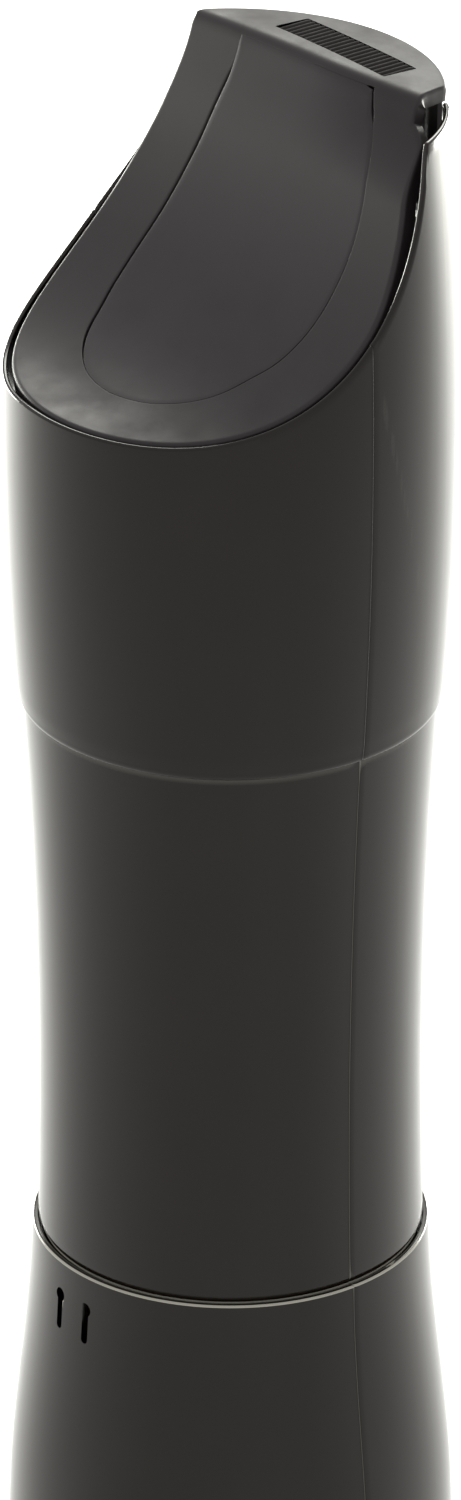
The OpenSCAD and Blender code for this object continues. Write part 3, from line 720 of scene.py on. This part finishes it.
# Panel's outline from its low end up to the ridge, on the -X (near) and +X (far) sides
TONGUE_LOW = [(0.0, 63.6), (4, 63.1), (8.5, 61.6), (13.0, 58.5), (16.3, 54.6), (18.6, 49.6)]
TONGUE_NEAR = [(20.6, 45.1), (21.6, 39.2), (21.6, 33.0), (20.9, 25.0), (19.6, 17.6), (18.0, 12.0),
               (15.6, 7.0), (13.9, 4.0), (13.2, 1.6), (12.6, 0.9), (6.0, 0.9), (0.0, 0.9)]
TONGUE_FAR = [(20.2, 45.1), (21.2, 39.2), (21.3, 33.0), (20.9, 25.0), (20.0, 17.6), (19.0, 12.0),
              (17.8, 7.0), (17.3, 4.0), (17.0, 1.6), (16.4, 0.9), (8.0, 0.9), (0.0, 0.9)]


def spline(points, n):
    """Catmull-Rom curve through points, n steps to each."""
    out = []
    for i in range(len(points) - 1):
        p0 = points[max(i - 1, 0)]
        p1 = points[i]
        p2 = points[i + 1]
        p3 = points[min(i + 2, len(points) - 1)]
        for k in range(n):
            t = k / n
            out.append(tuple(0.5 * (2 * b + (c - a) * t + (2 * a - 5 * b + 4 * c - d) * t * t
                                    + (3 * b - a - 3 * c + d) * t ** 3)
                             for a, b, c, d in zip(p0, p1, p2, p3)))
    out.append(points[-1])
    return out


def by_angle(outline, count):
    """Outline's distance from the centre along count evenly spread directions."""
    polar = sorted((math.atan2(x, s - CENTRE_S), math.hypot(x, s - CENTRE_S)) for x, s in outline)
    polar = [(polar[-1][0] - 2 * math.pi, polar[-1][1])] + polar
    polar += [(polar[1][0] + 2 * math.pi, polar[1][1])]
    out = []
    j = 0
    for i in range(count):
        a = -math.pi + 2 * math.pi * (i + 0.5) / count
        while polar[j + 1][0] < a:
            j += 1
        (a0, r0), (a1, r1) = polar[j], polar[j + 1]
        t = (a - a0) / max(1e-9, a1 - a0)
        out.append((a, r0 + (r1 - r0) * t))
    return out


COUNT = 640
tongue_near = spline(TONGUE_LOW + TONGUE_NEAR, 8)
tongue_far = spline(TONGUE_LOW + TONGUE_FAR, 8)
tongue_outline = tongue_far + [(-x, s) for x, s in reversed(tongue_near[1:-1])]
EDGE = by_angle(lever_outline(), COUNT)
PANEL = by_angle(tongue_outline, COUNT)


def gap_width(x, s):
    """Gap round the panel: closed under the nose, wider down the sides."""
    if x > 0:
        return 0.01 + 0.39 * smooth(s, 5.0, 9.0) * (1 - 0.9 * smooth(s, 54.0, 63.0))
    top = 0.42 * (1 - smooth(s, 4.5, 6.5)) * smooth(-x, 11.5, 12.6)
    return 0.03 + top + 0.12 * smooth(s, 18.0, 34.0) * (1 - 0.7 * smooth(s, 50.0, 60.0))


def at(i, radius, drop):
    """Point at radius from the centre along direction i, drop below the face."""
    a = EDGE[i][0]
    x = radius * math.sin(a)
    s = CENTRE_S + radius * math.cos(a)
    p = lever_point(x, s)
    return p - lever_normal(x, s) * drop


def disc(name, rings):
    """Closed solid from rings of COUNT points, with a point at each end."""
    verts = []
    faces = []
    first = rings[0]
    verts.append(tuple(first))
    for ring in rings[1:-1]:
        verts += [tuple(p) for p in ring]
    verts.append(tuple(rings[-1]))
    last = len(verts) - 1
    for i in range(COUNT):
        k = (i + 1) % COUNT
        faces.append((0, 1 + i, 1 + k))
        faces.append((last, last - COUNT + k, last - COUNT + i))
    for r in range(len(rings) - 3):
        for i in range(COUNT):
            k = (i + 1) % COUNT
            a = 1 + r * COUNT
            b = a + COUNT
            faces.append((a + i, b + i, b + k, a + k))
    return make(name, verts, faces)


def ring(distance, drop):
    """Ring of COUNT points at a distance and drop that can vary with the direction."""
    return [at(i, distance(i), drop(i) if callable(drop) else drop) for i in range(COUNT)]


def panel_gap(i):
    """Gap round the panel along direction i."""
    a, r = PANEL[i]
    return gap_width(r * math.sin(a), CENTRE_S + r * math.cos(a))


def edge_ease(i):
    """Rounding of the edges beside the gap."""
    return min(0.24, panel_gap(i) * 0.6)


PANEL_T = 1.15
rings = [at(0, 0.0, 0.0)]
for k in range(1, 27):
    rings.append(ring(lambda i: (PANEL[i][1] - panel_gap(i) / 2 - edge_ease(i)) * k / 26, 0.0))
for k in range(1, 5):
    a = math.pi / 2 * k / 4
    rings.append(ring(lambda i: PANEL[i][1] - panel_gap(i) / 2 - edge_ease(i) * (1 - math.sin(a)),
                      lambda i: edge_ease(i) * (1 - math.cos(a))))
rings.append(ring(lambda i: PANEL[i][1] - panel_gap(i) / 2, PANEL_T))
for k in range(5, 0, -1):
    rings.append(ring(lambda i: (PANEL[i][1] - panel_gap(i) / 2) * k / 6, PANEL_T))
rings.append(at(0, 0.0, PANEL_T))
tongue = disc("tongue_panel", rings)
place(tongue, "lever", "satin_panel", "lever_tongue")

PLATE_T = 2.55
RIM_EASE = 0.7
rings = [at(0, 0.0, PANEL_T + 0.08)]
for k in range(1, 7):
    rings.append(ring(lambda i: (PANEL[i][1] + panel_gap(i) / 2) * k / 6, PANEL_T + 0.08))
for k in range(5):
    a = math.pi / 2 * k / 4
    rings.append(ring(lambda i: PANEL[i][1] + panel_gap(i) / 2 + edge_ease(i) * (1 - math.cos(a)),
                      lambda i: edge_ease(i) * (1 - math.sin(a))))
STEPS = 40
for k in range(1, STEPS + 1):
    def out(i):
        start = PANEL[i][1] + panel_gap(i) / 2 + edge_ease(i)
        return start + (EDGE[i][1] - RIM_EASE - start) * k / STEPS
    rings.append(ring(out, 0.0))
for k in range(1, 6):
    a = math.pi / 2 * k / 5
    rings.append(ring(lambda i: EDGE[i][1] - RIM_EASE * (1 - math.sin(a)), RIM_EASE * (1 - math.cos(a))))
rings.append(ring(lambda i: EDGE[i][1], PLATE_T))
for k in range(9, 0, -1):
    rings.append(ring(lambda i: EDGE[i][1] * k / 10, PLATE_T))
rings.append(at(0, 0.0, PLATE_T))
lever = disc("press_lever", rings)

# Ribbed pad's sides, left, right, front and rear, and its recess in the nose
PAD = (-12.3, 14.3, -26.4, -20.2)
PAD_GAP = 0.3
PAD_MIDDLE = ((PAD[0] + PAD[1]) / 2, (PAD[2] + PAD[3]) / 2)
pad_hole = rectangle(*PAD_MIDDLE, PAD[1] - PAD[0] + PAD_GAP, PAD[3] - PAD[2] + PAD_GAP, 0.3)
cut(lever, [rounded_prism("tool_pad", pad_hole, CROWN_Z - 1.6, 6.0, "z")])
place(lever, "lever", "lever_shell", "lever_cap")

# Ribbed grip pad
RIBS = 22
RIB_STEPS = 10
RIB_H = 0.42
PAD_LOW = CROWN_Z - 1.55
sections = []
rib_rows = [(PAD[2], 0.35), (PAD[2] + 0.12, 0.12), (PAD[2] + 0.35, 0.0)]
rib_rows += [(PAD[3] - 0.35, 0.0), (PAD[3] - 0.12, 0.12), (PAD[3], 0.35)]
for y, drop in rib_rows:
    section = []
    n = RIBS * RIB_STEPS
    for i in range(n + 1):
        x = PAD[0] + (PAD[1] - PAD[0]) * i / n
        wave = 0.5 - 0.5 * math.cos(2 * math.pi * i / RIB_STEPS)
        dome = (x * x + PAD_MIDDLE[1] ** 2) / (2 * DOME_R)
        top = CROWN_Z - dome - 0.45 + RIB_H * wave ** 0.6
        section.append((x, y, top - drop * 0.8))
    section.append((PAD[1], y, PAD_LOW))
    section.append((PAD[0], y, PAD_LOW))
    sections.append(section)
pad = loft("ribbed_pad", sections)
place(pad, "lever", "grip_rubber", "grip_pad")

# Underside of the lever: hinge boss, switch foot and the skirt before the cutter
boss = rounded_prism("hinge_boss", circle(HINGE_Y, HINGE_Z, HINGE_R), -BOSS_LEN / 2, BOSS_LEN,
                     "x", 0.3)
place(boss, "lever", "lever_shell")
web = rounded_prism("hinge_web", rectangle(HINGE_Y, HINGE_Z + 2.7, 5.0, 3.4, 0.4),
                    0.1 - BOSS_LEN / 2, BOSS_LEN - 0.2, "x", 0.2)
place(web, "lever", "lever_shell")
foot = rounded_prism("switch_foot", rectangle(*FOOT, 0.5), FOOT_LOW, 6.0, "z", 0.3)
place(foot, "lever", "lever_shell")
SKIRT_IN = NOSE_R - SKIRT_T
sections = []
for i in range(61):
    a = math.radians(SKIRT_FROM + SKIRT_SPAN * i / 60)
    section = []
    c = math.cos(a)
    s = math.sin(a)
    for r, z in ((NOSE_R - 0.1, SKIRT_HIGH), (NOSE_R, SKIRT_HIGH - 0.5), (NOSE_R, SKIRT_LOW + 0.4),
                 (NOSE_R - 0.4, SKIRT_LOW), (SKIRT_IN + 0.3, SKIRT_LOW),
                 (SKIRT_IN, SKIRT_LOW + 0.3), (SKIRT_IN, SKIRT_HIGH)):
        flat = SKIRT_FLAT / -s
        least = flat if r < NOSE_R - 1 else flat + 0.4
        section.append((max(r, least) * c, max(r, least) * s, z))
    sections.append(section)
skirt = loft("nose_skirt", sections)
place(skirt, "lever", "lever_shell")

# Nodes that keep their own shape
SLOTS = {part["node"]: part["material_slot"] for part in frame["record"]["subparts"]}

# Width of the eased edges, in millimetres, on the nodes that get them
OUTER = {"face_plate": 0.2, "face_screws": 0.15, "shell_screws": 0.2, "foot_ring": 0.6,
         "base_plate": 0.3, "cord_gland": 0.3, "cutter_bracket": 0.15, "magnet_arm": 0.2,
         "lid_magnet": 0.2, "base_screws": 0.2, "hinge_pin": 0.2, "ballast_weight": 0.5,
         "switch_case": 0.3, "circuit_board": 0.1, "board_components": 0.4}
for name, node in NODES.items():
    dress(node, SLOTS[name])
    if name in OUTER:
        mod = node.modifiers.new("eased", "BEVEL")
        mod.width = OUTER[name] * MM
        mod.segments = 2
        mod.limit_method = "ANGLE"
        mod.angle_limit = math.radians(50)
        mod.harden_normals = True

# Stage
FLOOR_SIDE = 28.0
floor_corners = [(x, y, 0) for x, y in rectangle(0, 0, FLOOR_SIDE, FLOOR_SIDE)]
floor_mesh = bpy.data.meshes.new("floor")
floor_mesh.from_pydata(floor_corners, [], [(0, 1, 2, 3)])
floor = bpy.data.objects.new("floor", floor_mesh)
bpy.context.scene.collection.objects.link(floor)
floor_mat, floor_nodes, floor_links, floor_bsdf = new_material("pale_floor")
floor_bsdf.inputs["Base Color"].default_value = (0.93, 0.93, 0.925, 1)
floor_bsdf.inputs["Roughness"].default_value = 0.7
floor_mesh.materials.append(floor_mat)

world = bpy.data.worlds.new("studio")
world.use_nodes = True
world.node_tree.nodes["Background"].inputs["Color"].default_value = (1.0, 1.0, 1.0, 1)
world.node_tree.nodes["Background"].inputs["Strength"].default_value = 1.0
bpy.context.scene.world = world
bpy.context.scene.view_settings.view_transform = "Standard"


def area_light(name, spot, target, size, power):
    """Warm rectangular panel at spot, facing target; metres and watts."""
    data = bpy.data.lights.new(name, "AREA")
    data.shape = "RECTANGLE"
    data.size = size[0]
    data.size_y = size[1]
    data.energy = power
    data.color = (1.0, 1.0, 0.93)
    light = bpy.data.objects.new(name, data)
    light.location = spot
    aim = target - spot
    light.rotation_euler = aim.to_track_quat("-Z", "Y").to_euler()
    bpy.context.scene.collection.objects.link(light)


# Directions of the view: towards the camera, to the right, and the object's middle
VIEW = math.radians(232.0)
BACK = Vector((math.sin(VIEW), -math.cos(VIEW), 0))
RIGHT = Vector((math.cos(VIEW), math.sin(VIEW), 0))
MIDDLE = Vector((0, 0, 0.15))
for name, way in (("left_panel", -0.62), ("right_panel", 0.62)):
    area_light(name, MIDDLE + RIGHT * way - BACK * 0.78, MIDDLE, (0.5, 0.28), 15.0)
crown_spot = MIDDLE + RIGHT * 0.14 - BACK * 0.9 + Vector((0, 0, 0.62))
area_light("crown_panel", crown_spot, MIDDLE, (0.7, 0.25), 6.0)

camera_data = bpy.data.cameras.new("camera")
camera_data.lens = 232.0
camera_data.sensor_width = 36.0
camera_data.clip_start = 0.05
camera_data.clip_end = 100.0
camera = bpy.data.objects.new("camera", camera_data)
bpy.context.scene.collection.objects.link(camera)
ELEVATION = math.radians(25.76)
TARGET = Vector((0, 0, 0.15249))
DISTANCE = 1.5266
out_of = BACK * math.cos(ELEVATION) + Vector((0, 0, math.sin(ELEVATION)))
camera.location = TARGET + out_of * DISTANCE
camera.rotation_euler = (-out_of).to_track_quat("-Z", "Y").to_euler()
bpy.context.scene.camera = camera
